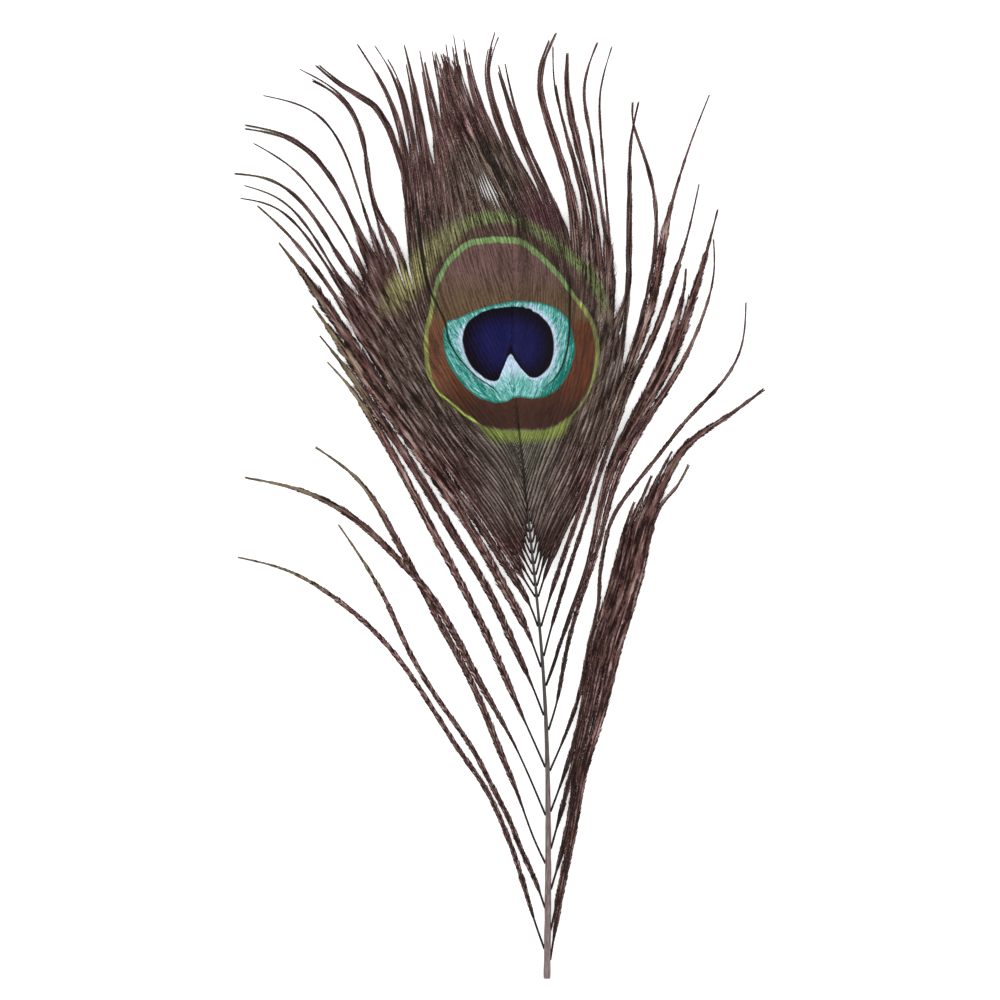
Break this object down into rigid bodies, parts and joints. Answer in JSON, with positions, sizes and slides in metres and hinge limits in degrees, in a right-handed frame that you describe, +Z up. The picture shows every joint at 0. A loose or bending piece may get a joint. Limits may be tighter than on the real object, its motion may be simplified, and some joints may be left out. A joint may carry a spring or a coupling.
{
  "type": "peacock eye feather",
  "caption": "Cut peacock train feather lying flat: a thin shaft, loose brown barbs below, and an eye of blue, teal and bronze ringed with green.",
  "frame": {"origin": "centre of the feather's outline, on the surface it lies on", "axes": "+Y along the feather from the cut end of the shaft to the tip, +X across to its right seen from above, +Z up out of the showing side"},
  "size_m": [0.1422, 0.2552, 0.0053],
  "materials": {
    "shaft_horn": "satin horn, mauve brown, darker towards the eye",
    "barb": "fuzzy barbs, dark red-brown with a mauve sheen and olive tips",
    "vane": "iridescent web: navy pupil, teal, bronze and russet zones, bright green rings, olive-brown outside"
  },
  "bodies": {
    "root": {"shaft": "shaft_horn", "vane_left": "vane", "vane_right": "vane", "barb_left_1": "barb", "barb_left_2": "barb", "barb_left_3": "barb", "barb_left_4": "barb", "barb_left_5": "barb", "barb_left_6": "barb", "barb_left_7": "barb", "barb_left_8": "barb", "barb_right_1": "barb", "barb_right_2": "barb", "barb_right_3": "barb", "barb_right_4": "barb", "barb_right_5": "barb", "barb_right_6": "barb", "barb_right_7": "barb", "barb_right_8": "barb", "barb_right_9": "barb", "barb_right_10": "barb"}
  },
  "joints": []
}
